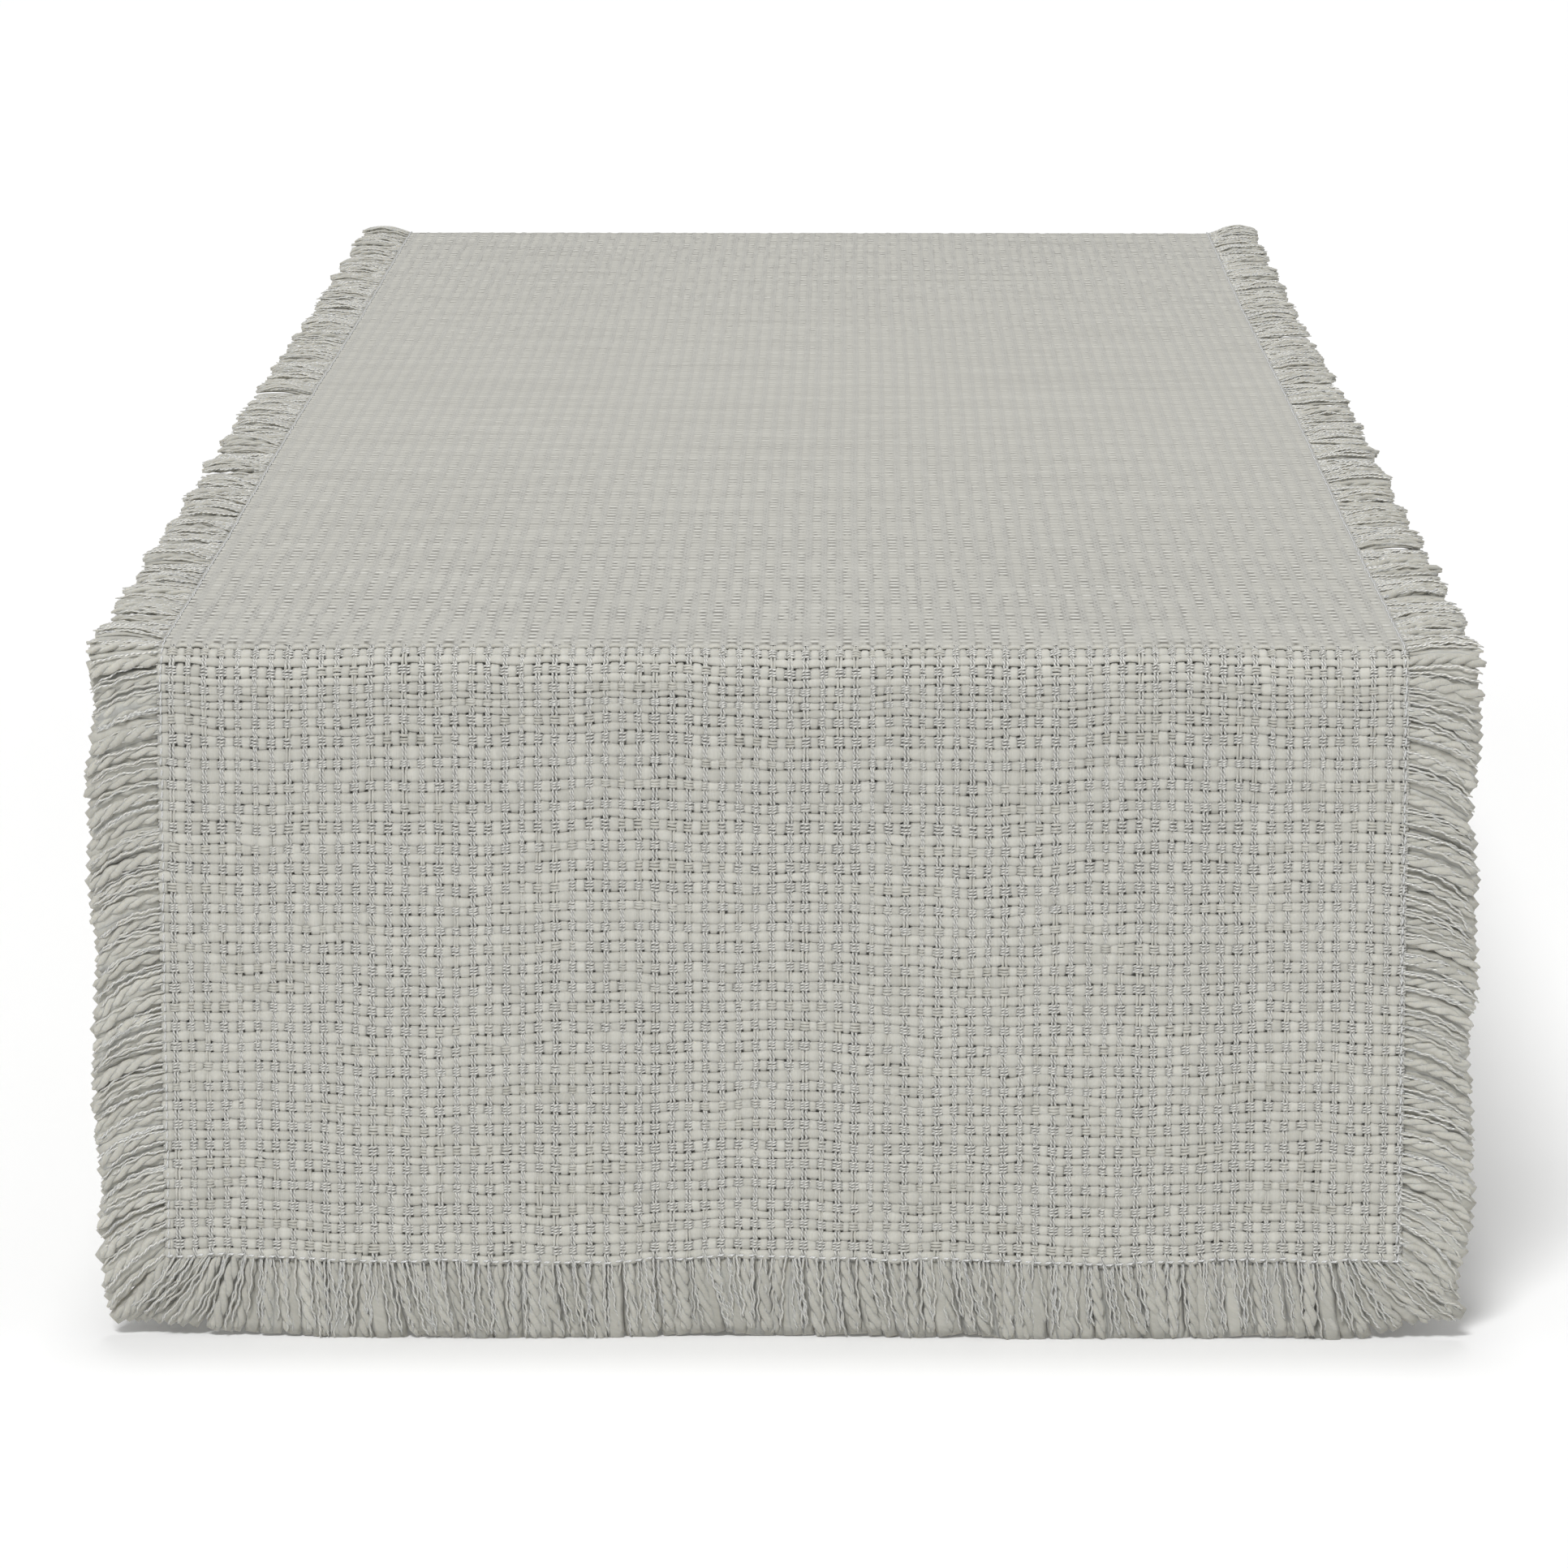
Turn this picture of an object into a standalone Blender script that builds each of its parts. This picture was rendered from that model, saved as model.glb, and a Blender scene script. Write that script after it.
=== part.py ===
"""A woven cotton table runner with an eyelash fringe, lying along a table and hanging over both of its ends.

The origin is the middle of the top panel's underside, where the cloth rests on the table. X runs across the
runner, Y along it and Z up; the front end is the -Y one. Every size is in metres.

The cloth is one woven length, cut here into five panels where it bends: the top, a quarter-round bend at each
table edge and a hanging drop at each end. The fringe is the cloth's own yarn ends, combed out past a line of
machine stitching that runs round the whole edge.
"""

import math

import bmesh
import bpy

# The cloth
CLOTH_WIDTH = 0.320  # between the two fringe roots
CLOTH_THICKNESS = 0.0025
TOP_LENGTH = 1.000  # flat on the table, from bend to bend
DROP_LENGTH = 0.151  # straight down, from the bend to the hem
EDGE_RADIUS = 0.008  # the rounded table edge inside each bend

# The fringe
SIDE_FRINGE = 0.018  # reach past the cloth's long edges
END_FRINGE = 0.0195  # reach below each hem
FRINGE_THICKNESS = 0.0020
TUFT_PITCH = 0.0125  # wanted spacing; each edge rounds it to a whole number of tufts
TUFT_GAP = 0.0024  # open space between two tufts
FRINGE_ROOT = 0.0040  # the part by the cloth where the tufts still touch
TIP_TAPER = 0.0045  # length of each tuft's narrowing tip
TIP_SHARE = 0.45  # the tip's width as a share of the tuft's
HEM_ROLL_RADIUS = 0.0011  # round bundle of yarn ends that the hem fringe swings on

# The stitching
STITCH_INSET = 0.0010  # from the cloth's edge to the middle of the stitch line
STITCH_WIDTH = 0.0012
STITCH_THICKNESS = 0.0008

# Fits and facets
JOINT_GAP = 0.0003  # between neighbouring pieces
BEND_STEPS = 8
ROLL_SIDES = 16

ENDS = {"front": -1, "back": 1}  # sign of Y
SIDES = {"left": -1, "right": 1}  # sign of X

HALF_TOP = TOP_LENGTH / 2
HALF_WIDTH = CLOTH_WIDTH / 2
MID_RADIUS = EDGE_RADIUS + CLOTH_THICKNESS / 2
MID_HEIGHT = CLOTH_THICKNESS / 2
HEM_HEIGHT = -EDGE_RADIUS - DROP_LENGTH
DROP_MID_Y = HALF_TOP + MID_RADIUS
STITCH_X = HALF_WIDTH - STITCH_INSET
STITCH_LIFT = CLOTH_THICKNESS / 2 + JOINT_GAP + STITCH_THICKNESS / 2  # cloth's middle to thread's middle

# A drop turns about the point from which its cloth unrolls straight, level with the top
HINGE_Y = HALF_TOP + MID_RADIUS * math.pi / 4
HINGE_Z = MID_HEIGHT - MID_RADIUS * (1 - math.pi / 4)
HEM_PIVOT_Z = HEM_HEIGHT - JOINT_GAP - HEM_ROLL_RADIUS

FLAT = (0, 0, 0)
ENDWISE = (math.pi / 2, 0, math.pi / 2)  # local X becomes world Y, local Y world Z, local Z world X
# A comb's tufts point along its local -X. These turn them outwards on the top and drops, and down at a hem
FLAT_COMB = {"left": FLAT, "right": (0, 0, math.pi)}
HANGING_COMB = {"left": (math.pi / 2, 0, 0), "right": (math.pi / 2, 0, math.pi)}
HEM_COMB = (-math.pi / 2, -math.pi / 2, 0)


def clear_scene():
    for thing in list(bpy.data.objects):
        bpy.data.objects.remove(thing, do_unlink=True)


def make_material(name, color, roughness, metallic=0.0):
    material = bpy.data.materials.new(name)
    material.use_nodes = True
    shader = material.node_tree.nodes["Principled BSDF"]
    shader.inputs["Base Color"].default_value = (*color, 1)
    shader.inputs["Roughness"].default_value = roughness
    shader.inputs["Metallic"].default_value = metallic
    return material


def add_piece(collection, name, data, material, parent=None):
    """A named object holding data; a parent is an empty that stands unturned on a joint's axis."""
    piece = bpy.data.objects.new(name, data)
    data.materials.append(material)
    collection.objects.link(piece)
    if parent:
        piece.parent = parent
    return piece


def add_axis(collection, name, y, z, parent=None):
    """An empty on a hinge's axis, at world height z and distance y along the runner."""
    axis = bpy.data.objects.new(name, None)
    collection.objects.link(axis)
    axis.empty_display_size = 0.02
    axis["world"] = (0.0, y, z)
    axis.parent = parent
    place(axis, (0, y, z))
    return axis


def place(piece, spot, rotation=FLAT):
    """Puts a piece at a world spot, whichever hinge axis it hangs from."""
    base = piece.parent["world"] if piece.parent else (0, 0, 0)
    piece.location = [spot[i] - base[i] for i in range(3)]
    piece.rotation_euler = rotation


def outline_curve(name, points, depth):
    """A flat closed outline as a filled 2D curve, with its thickness centred on the outline's plane."""
    turn = sum(a[0] * b[1] - b[0] * a[1] for a, b in zip(points, points[1:] + points[:1]))
    if turn < 0:
        points = points[::-1]
    curve = bpy.data.curves.new(name, "CURVE")
    curve.dimensions = "2D"
    curve.fill_mode = "BOTH"
    curve.extrude = depth / 2
    spline = curve.splines.new("POLY")
    spline.points.add(len(points) - 1)
    for point, (x, y) in zip(spline.points, points):
        point.co = (x, y, 0, 1)
    spline.use_cyclic_u = True
    return curve


def box_mesh(name, size):
    mesh = bpy.data.meshes.new(name)
    cage = bmesh.new()
    bmesh.ops.create_cube(cage, size=1)
    bmesh.ops.scale(cage, vec=size, verts=cage.verts)
    cage.to_mesh(mesh)
    cage.free()
    return mesh


def comb_curve(name, length, reach):
    """A fringe: its root runs along local Y, centred, and tapered tufts stand out to reach along local -X."""
    count = max(1, round(length / TUFT_PITCH))
    pitch = length / count
    half = (pitch - TUFT_GAP) / 2
    points = [(0, length / 2), (-FRINGE_ROOT, length / 2)]
    for k in range(count):
        middle = length / 2 - (k + 0.5) * pitch
        points += [
            (-FRINGE_ROOT, middle + half),
            (TIP_TAPER - reach, middle + half),
            (-reach, middle + half * TIP_SHARE),
            (-reach, middle - half * TIP_SHARE),
            (TIP_TAPER - reach, middle - half),
            (-FRINGE_ROOT, middle - half),
        ]
    points += [(-FRINGE_ROOT, -length / 2), (0, -length / 2)]
    return outline_curve(name, points, FRINGE_THICKNESS)


def quarter_ring_points(inner, outer, sign):
    """A quarter ring about the origin, from straight up round to the sign side of the first axis."""
    angles = [math.pi / 2 * k / BEND_STEPS for k in range(BEND_STEPS + 1)]
    outside = [(sign * outer * math.sin(a), outer * math.cos(a)) for a in angles]
    inside = [(sign * inner * math.sin(a), inner * math.cos(a)) for a in reversed(angles)]
    return outside + inside


def add_top(collection, cotton, yarn, thread):
    """The flat panel on the table, its two side fringes and its two stitch lines."""
    length = TOP_LENGTH - 2 * JOINT_GAP
    sheet = box_mesh("top_cloth", (CLOTH_WIDTH, length, CLOTH_THICKNESS))
    cloth = add_piece(collection, "top_cloth", sheet, cotton)
    place(cloth, (0, 0, MID_HEIGHT))
    for side, x_sign in SIDES.items():
        name = f"{side}_top_fringe"
        fringe = add_piece(collection, name, comb_curve(name, length, SIDE_FRINGE - JOINT_GAP), yarn)
        place(fringe, (x_sign * (HALF_WIDTH + JOINT_GAP), 0, MID_HEIGHT), FLAT_COMB[side])
        name = f"{side}_top_stitch"
        strip = box_mesh(name, (STITCH_WIDTH, length, STITCH_THICKNESS))
        stitch = add_piece(collection, name, strip, thread)
        place(stitch, (x_sign * STITCH_X, 0, MID_HEIGHT + STITCH_LIFT))


def add_bend(collection, end, hinge, cotton, yarn, thread):
    """The cloth, fringe and stitching that curl over one table edge."""
    y_sign = ENDS[end]

    def ring(name, radius, thickness, width, x, material):
        points = quarter_ring_points(radius - thickness / 2, radius + thickness / 2, y_sign)
        piece = add_piece(collection, name, outline_curve(name, points, width), material, hinge)
        place(piece, (x, y_sign * HALF_TOP, -EDGE_RADIUS), ENDWISE)

    ring(f"{end}_bend_cloth", MID_RADIUS, CLOTH_THICKNESS, CLOTH_WIDTH, 0, cotton)
    reach = SIDE_FRINGE - JOINT_GAP
    over = MID_RADIUS + STITCH_LIFT
    for side, x_sign in SIDES.items():
        fringe_x = x_sign * (HALF_WIDTH + JOINT_GAP + reach / 2)
        stitch_x = x_sign * STITCH_X
        ring(f"{side}_{end}_bend_fringe", MID_RADIUS, FRINGE_THICKNESS, reach, fringe_x, yarn)
        ring(f"{side}_{end}_bend_stitch", over, STITCH_THICKNESS, STITCH_WIDTH, stitch_x, thread)


def add_drop(collection, end, hinge, cotton, yarn, thread):
    """One hanging panel with its side fringes, and the stitch lines down its sides and along its hem."""
    y_sign = ENDS[end]
    top_z = -EDGE_RADIUS - JOINT_GAP
    height = top_z - HEM_HEIGHT
    middle_z = (top_z + HEM_HEIGHT) / 2
    name = f"{end}_drop_cloth"
    sheet = box_mesh(name, (CLOTH_WIDTH, CLOTH_THICKNESS, height))
    cloth = add_piece(collection, name, sheet, cotton, hinge)
    place(cloth, (0, y_sign * DROP_MID_Y, middle_z))

    stitch_y = y_sign * (DROP_MID_Y + STITCH_LIFT)
    stitch_low = HEM_HEIGHT + STITCH_INSET - STITCH_WIDTH / 2
    stitch_height = top_z - stitch_low
    for side, x_sign in SIDES.items():
        name = f"{side}_{end}_drop_fringe"
        fringe = add_piece(collection, name, comb_curve(name, height, SIDE_FRINGE - JOINT_GAP), yarn, hinge)
        spot = (x_sign * (HALF_WIDTH + JOINT_GAP), y_sign * DROP_MID_Y, middle_z)
        place(fringe, spot, HANGING_COMB[side])
        name = f"{side}_{end}_drop_stitch"
        strip = box_mesh(name, (STITCH_WIDTH, STITCH_THICKNESS, stitch_height))
        stitch = add_piece(collection, name, strip, thread, hinge)
        place(stitch, (x_sign * STITCH_X, stitch_y, top_z - stitch_height / 2))

    name = f"{end}_hem_stitch"
    length = 2 * (STITCH_X - STITCH_WIDTH / 2 - JOINT_GAP)
    strip = box_mesh(name, (length, STITCH_THICKNESS, STITCH_WIDTH))
    stitch = add_piece(collection, name, strip, thread, hinge)
    place(stitch, (0, stitch_y, HEM_HEIGHT + STITCH_INSET))


def solid_mesh(curve, name):
    """The curve's evaluated solid as a plain mesh, with its caps welded on."""
    helper = bpy.data.objects.new(name, curve)
    bpy.context.scene.collection.objects.link(helper)
    graph = bpy.context.evaluated_depsgraph_get()
    mesh = bpy.data.meshes.new_from_object(helper.evaluated_get(graph))
    bpy.data.objects.remove(helper, do_unlink=True)
    cage = bmesh.new()
    cage.from_mesh(mesh)
    bmesh.ops.remove_doubles(cage, verts=cage.verts, dist=0.00001)
    bmesh.ops.recalc_face_normals(cage, faces=cage.faces)
    cage.to_mesh(mesh)
    cage.free()
    return mesh


def add_end_fringe(collection, cutters, end, hinge, yarn):
    """The hem's fringe: tufts hanging from a round roll of yarn ends, so that it swings clear of the hem."""
    y_sign = ENDS[end]
    name = f"{end}_hem_fringe"
    reach = HEM_PIVOT_Z - (HEM_HEIGHT - END_FRINGE)
    comb = solid_mesh(comb_curve(f"{name}_outline", CLOTH_WIDTH, reach), name)
    fringe = add_piece(collection, name, comb, yarn, hinge)
    place(fringe, (0, y_sign * DROP_MID_Y, HEM_PIVOT_Z), HEM_COMB)

    roll_mesh = bpy.data.meshes.new(f"{end}_hem_roll")
    cage = bmesh.new()
    radius = HEM_ROLL_RADIUS
    length = CLOTH_WIDTH - 2 * JOINT_GAP
    bmesh.ops.create_cone(
        cage, cap_ends=True, segments=ROLL_SIDES, radius1=radius, radius2=radius, depth=length
    )
    cage.to_mesh(roll_mesh)
    cage.free()
    roll = add_piece(cutters, f"{end}_hem_roll", roll_mesh, yarn, hinge)
    place(roll, (0, y_sign * DROP_MID_Y, HEM_PIVOT_Z), (0, math.pi / 2, 0))
    roll.hide_render = True
    roll.display_type = "WIRE"
    join = fringe.modifiers.new("join_roll", "BOOLEAN")
    join.operation = "UNION"
    join.solver = "MANIFOLD"
    join.object = roll


def build():
    clear_scene()
    runner = bpy.data.collections.new("table_runner")
    cutters = bpy.data.collections.new("table_runner_cutters")
    for collection in (runner, cutters):
        bpy.context.scene.collection.children.link(collection)

    cotton = make_material("cotton_cloth", (0.50, 0.49, 0.45), roughness=0.9)
    yarn = make_material("fringe_yarn", (0.55, 0.54, 0.50), roughness=0.85)
    thread = make_material("stitch_thread", (0.72, 0.72, 0.70), roughness=0.35, metallic=0.3)

    add_top(runner, cotton, yarn, thread)
    for end, y_sign in ENDS.items():
        drop_hinge = add_axis(runner, f"{end}_drop_hinge", y_sign * HINGE_Y, HINGE_Z)
        hem_hinge = add_axis(runner, f"{end}_hem_hinge", y_sign * DROP_MID_Y, HEM_PIVOT_Z, drop_hinge)
        add_bend(runner, end, drop_hinge, cotton, yarn, thread)
        add_drop(runner, end, drop_hinge, cotton, yarn, thread)
        add_end_fringe(runner, cutters, end, hem_hinge, yarn)


build()
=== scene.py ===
"""A woven cotton table runner with an eyelash fringe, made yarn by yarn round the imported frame.

The cloth is laid out flat first: "across" runs from the left edge to the right and "along" from the
front hem to the back one. lay() then lets it lie on the table, turn over both table edges and hang.
Every piece, from the yarns to the stitching, goes through lay(), so they all stay together.
"""

import math

import bpy
import numpy as np
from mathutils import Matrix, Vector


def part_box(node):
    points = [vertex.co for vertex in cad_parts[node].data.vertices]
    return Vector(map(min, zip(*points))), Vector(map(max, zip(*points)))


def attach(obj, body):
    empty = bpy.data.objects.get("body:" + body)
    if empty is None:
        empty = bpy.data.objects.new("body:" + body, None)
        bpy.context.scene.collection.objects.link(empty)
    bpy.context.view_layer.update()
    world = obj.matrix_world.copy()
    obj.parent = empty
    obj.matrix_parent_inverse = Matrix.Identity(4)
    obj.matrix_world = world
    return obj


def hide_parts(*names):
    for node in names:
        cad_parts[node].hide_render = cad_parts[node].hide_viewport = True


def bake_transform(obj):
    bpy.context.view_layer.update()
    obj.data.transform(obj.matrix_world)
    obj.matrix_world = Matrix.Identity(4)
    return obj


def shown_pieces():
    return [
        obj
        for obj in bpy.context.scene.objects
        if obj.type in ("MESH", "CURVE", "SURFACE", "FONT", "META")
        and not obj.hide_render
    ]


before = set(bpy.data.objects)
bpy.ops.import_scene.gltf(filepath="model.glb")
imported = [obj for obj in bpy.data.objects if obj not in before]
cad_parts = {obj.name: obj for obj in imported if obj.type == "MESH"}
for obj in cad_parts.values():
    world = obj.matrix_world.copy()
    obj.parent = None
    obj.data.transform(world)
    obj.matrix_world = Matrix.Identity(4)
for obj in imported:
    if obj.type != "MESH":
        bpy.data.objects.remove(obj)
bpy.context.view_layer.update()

# The cloth's sizes, from the frame
TOP_LOW, TOP_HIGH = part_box("top_cloth")
BEND_LOW, BEND_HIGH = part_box("front_bend_cloth")
DROP_LOW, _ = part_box("front_drop_cloth")
HEM_FRINGE_LOW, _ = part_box("front_hem_fringe")
SIDE_FRINGE_LOW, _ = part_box("left_top_fringe")

HALF_WIDTH = TOP_HIGH.x
THICKNESS = TOP_HIGH.z - TOP_LOW.z
FLAT = -BEND_HIGH.y  # the flat cloth reaches this far each way along the table
TURN_Z = BEND_LOW.z  # height of the centre of both bends
RADIUS = -BEND_LOW.y - FLAT - THICKNESS / 2  # of the cloth's middle in a bend
ARC = RADIUS * math.pi / 2
HEM = FLAT + ARC + TURN_Z - DROP_LOW.z  # the hem's place along the flat cloth
SIDE_REACH = -SIDE_FRINGE_LOW.x - HALF_WIDTH
HEM_REACH = DROP_LOW.z - HEM_FRINGE_LOW.z

# The weave: thick cotton and fine silvery yarns take turns both ways
MM = 0.001
WARP_PAIRS = 75
WEFT_PAIRS = 252
WARPS = 2 * WARP_PAIRS
WEFTS = 2 * WEFT_PAIRS
COTTON_WARP_SHARE = 0.64  # of a pair's width
COTTON_WEFT_SHARE = 0.53
COTTON_HALF_HEIGHT = 0.60 * MM
SILVER_RADIUS = 0.39 * MM
SILVER_PER_WARP = 2
SILVER_PER_WEFT = 3
# Lowest and highest place of each yarn's middle, above the cloth's middle
WARP_CRIMP = {"cotton": (-0.60 * MM, 0.44 * MM), "silver": (-0.26 * MM, 0.58 * MM)}
WEFT_CRIMP = {"cotton": (-0.16 * MM, 0.62 * MM), "silver": (-0.22 * MM, 0.62 * MM)}
PITCH = 2 * HEM / WEFTS
WARP_SCALE = 2.13  # millimetres a warp and a weft, as the finish's patterns count them
WEFT_SCALE = 2.64
ROUNDNESS = 1.96  # a yarn's top is an ellipse, whose half width is 1 over this, in yarn numbers
SPLIT_PICK = 63  # picks from each hem to the table edge, where the yarns of the end begin
SPLIT = HEM - SPLIT_PICK * PITCH
# Just below each bend the wefts are drawn together
GATHER = 0.30  # share of a weft's distance from the gather's middle
GATHER_BELOW = 3 * MM
GATHER_REACH = 13 * MM
NARROWING = 0.14  # of the thick wefts, round the end of the bend
NARROWING_REACH = 11 * MM
# How uneven the yarns are
EDGE_NUDGE = 0.08  # of a yarn's mean width
WARP_TONE_SPREAD = 0.40
WEFT_TONE_SPREAD = 0.45
FINE_SPREAD = 0.92  # of a fine yarn's room is filled by its threads
FINE_WANDER = 0.10 * MM
THICK_WANDER = 0.30 * MM
HEIGHT_WANDER = 0.05 * MM
TONE_WANDER = 0.6
FACE_WANDER = 0.12 * MM

# Round the edges
ROOT_INSET = 0.9 * MM  # the fringe's strands begin this far inside the cloth's edge
STITCH_INSET = 1.0 * MM
THREAD_RADIUS = 0.29 * MM
PLY_RADIUS = 1.02 * MM
PLY_OFFSET = 0.74 * MM  # of a ply's middle from its strand's
BUNCH_PHASE = {"left": 0.4, "right": 2.9}  # of the bunches in each side fringe
FAN_REACH = {"left": 36 * MM, "right": 32 * MM}  # the hem's strands fan out this near each corner

ENDS = {"front": -1, "back": 1}
SIDES = {"left": -1, "right": 1}

# The studio
FLOOR_BELOW = 0.7 * MM  # under the hem fringe
FLOOR_COLOUR = (0.955, 0.955, 0.955, 1)
ROOM_LIGHT = 0.345
SUNS = {  # power, spread, tilt towards the camera and turn, in degrees
    "key": (2.08, 16, 40, -15),
    "overhead": (0.76, 12, -9, 0),
}
FILM_WIDTH = 36  # mm
LENS = 156.8944  # mm
CAMERA_PLACE = (0.0180, -2.2292, 0.2903)
CAMERA_PITCH = 10.635  # degrees down
CAMERA_YAW = 0.588  # degrees to the left


# ---- small helpers ----


def wander(x, wavelength, rng, rows=1):
    """Smooth random values of about -1 to 1 along each row: the sum of four sines of nearby
    wavelengths, each row's own, over 2.4."""
    total = 0.0
    for _ in range(4):
        stretch = rng.uniform(0.6, 1.7, (rows, 1))
        phase = rng.uniform(0, 2 * math.pi, (rows, 1))
        total = total + np.sin(2 * math.pi * x / (wavelength * stretch) + phase)
    return total / 2.4


def smooth(x, low, high):
    """0 below low and 1 above high, with a cubic ramp between."""
    t = np.clip((x - low) / (high - low), 0, 1)
    return t * t * (3 - 2 * t)


def unit(v):
    return v / np.maximum(np.linalg.norm(v, axis=-1, keepdims=True), 1e-12)


def lay(across, along, height):
    """Flat cloth to its place in the room. The cloth's grain first wanders a little, by sums of long
    sines. It is flat up to FLAT, then follows a quarter circle of RADIUS round the table edge, then
    hangs straight, with slight folds that grow towards the hem. height is counted outwards from the
    cloth's middle."""
    across, along, height = np.broadcast_arrays(across, along, height)
    drift = 0.55 * MM * np.sin(across * 41 + along * 17)
    drift = drift + 0.35 * MM * np.sin(across * 97 - along * 31 + 1.3)
    drift = drift + 0.24 * MM * np.sin(across * 290 + along * 110) * np.sin(across * 53 - along * 170)
    sway = 0.32 * MM * np.sin(along * 11 + across * 9 + 0.7)
    sway = sway + 0.06 * MM * np.sin(along * 61 + across * 40 + 2.1)
    along = along + drift
    across = across + sway
    side = np.where(along < 0, -1.0, 1.0)
    reach = np.abs(along)
    turn = np.clip((reach - FLAT) / RADIUS, 0, math.pi / 2)
    down = np.maximum(reach - FLAT - ARC, 0)
    fold = 0.9 * MM * np.sin(across * 47 + side) + 0.6 * MM * np.sin(across * 23 + 2 * side)
    fold = fold * smooth(down, 0.0, 0.15)
    radius = RADIUS + height
    y = side * (np.minimum(reach, FLAT) + radius * np.sin(turn) + fold)
    z = TURN_Z + radius * np.cos(turn) - down
    return np.stack([across, y, z], axis=-1)


def outward(across, along):
    """The cloth's outward direction, from two heights of lay()."""
    return unit(lay(across, along, MM) - lay(across, along, 0.0))


def make_piece(name, points, faces, uv, values, material):
    """A smooth mesh from whole arrays: points (n, 3), faces a list of index arrays with one row a face,
    uv a pair for each corner, and values by name, one for each point."""
    mesh = bpy.data.meshes.new(name)
    corners = np.concatenate([f.ravel() for f in faces]).astype(np.int32)
    sizes = np.concatenate([np.full(len(f), f.shape[1]) for f in faces])
    starts = np.concatenate([[0], np.cumsum(sizes)[:-1]]).astype(np.int32)
    mesh.vertices.add(len(points))
    mesh.vertices.foreach_set("co", points.astype(np.float32).ravel())
    mesh.loops.add(len(corners))
    mesh.loops.foreach_set("vertex_index", corners)
    mesh.polygons.add(len(sizes))
    mesh.polygons.foreach_set("loop_start", starts)
    layer = mesh.uv_layers.new(name="yarn")
    layer.uv.foreach_set("vector", uv.astype(np.float32).ravel())
    for key, value in values.items():
        attribute = mesh.attributes.new(key, "FLOAT", "POINT")
        attribute.data.foreach_set("value", np.asarray(value, np.float32).ravel())
    mesh.update(calc_edges=True)
    mesh.shade_smooth()
    mesh.materials.append(material)
    piece = bpy.data.objects.new(name, mesh)
    bpy.context.scene.collection.objects.link(piece)
    return piece


def tubes(name, paths, half_wide, half_thick, wide_way, sides, tone, silver, material, hump=0.5):
    """Many yarns in one piece. paths is (yarns, rings, 3). Each ring is an ellipse square to its path:
    half_wide times the cosine of the angle along wide_way, plus half_thick times its sine across it.
    Both ends have caps. The UV map holds turns round the yarn and millimetres along it. The finish
    reads how pale a yarn is from tone, how silvery from silver and how far it stands out of the weave
    from hump, which paints a highlight on the humps."""
    count, rings = paths.shape[:2]
    way = unit(np.gradient(paths, axis=1))
    wide_way = np.broadcast_to(wide_way, paths.shape)
    wide = unit(wide_way - (wide_way * way).sum(-1, keepdims=True) * way)
    thick = np.cross(way, wide)
    half_wide = np.broadcast_to(half_wide, (count, rings))[..., None, None]
    half_thick = np.broadcast_to(half_thick, (count, rings))[..., None, None]
    angle = (2 * math.pi * np.arange(sides) / sides)[:, None]
    ring = np.cos(angle) * half_wide * wide[:, :, None] + np.sin(angle) * half_thick * thick[:, :, None]
    points = (paths[:, :, None] + ring).reshape(-1, 3)

    step = np.linalg.norm(np.diff(paths, axis=1), axis=-1)
    length = np.concatenate([np.zeros((count, 1)), np.cumsum(step, axis=1)], axis=1) / MM
    yarn, r, k = np.meshgrid(np.arange(count), np.arange(rings - 1), np.arange(sides), indexing="ij")
    base = (yarn * rings + r) * sides
    after = (k + 1) % sides
    quads = np.stack([base + k, base + after, base + sides + after, base + sides + k], axis=-1)
    quads = quads.reshape(-1, 4)
    low, high = length[:, :-1, None] + 0 * k, length[:, 1:, None] + 0 * k
    turns, next_turns = k / sides, k / sides + 1 / sides
    quad_uv = np.stack([turns, low, next_turns, low, next_turns, high, turns, high], axis=-1)
    first = (np.arange(count) * rings * sides)[:, None]
    around = np.arange(sides)[None]
    caps = np.concatenate([first + around[:, ::-1], first + (rings - 1) * sides + around])
    uv = np.concatenate([quad_uv.reshape(-1, 2), np.zeros((caps.size, 2))])

    def on_points(value):
        by_ring = np.broadcast_to(value, (count, rings))[..., None]
        return np.broadcast_to(by_ring, (count, rings, sides))

    values = {"tone": on_points(tone), "silver": on_points(silver), "hump": on_points(hump)}
    return make_piece(name, points, [quads, caps], uv, values, material)


def sheet_grid(name, points, uv_grid, material):
    """One open sheet of quads on a grid of points (rows, columns, 3), facing where columns cross
    rows."""
    rows, columns = points.shape[:2]
    r, c = np.meshgrid(np.arange(rows - 1), np.arange(columns - 1), indexing="ij")
    base = r * columns + c
    quads = np.stack([base, base + 1, base + columns + 1, base + columns], axis=-1).reshape(-1, 4)
    uv = uv_grid.reshape(-1, 2)[quads.ravel()]
    return make_piece(name, points.reshape(-1, 3), [quads], uv, {}, material)


# ---- finishes ----


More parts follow.
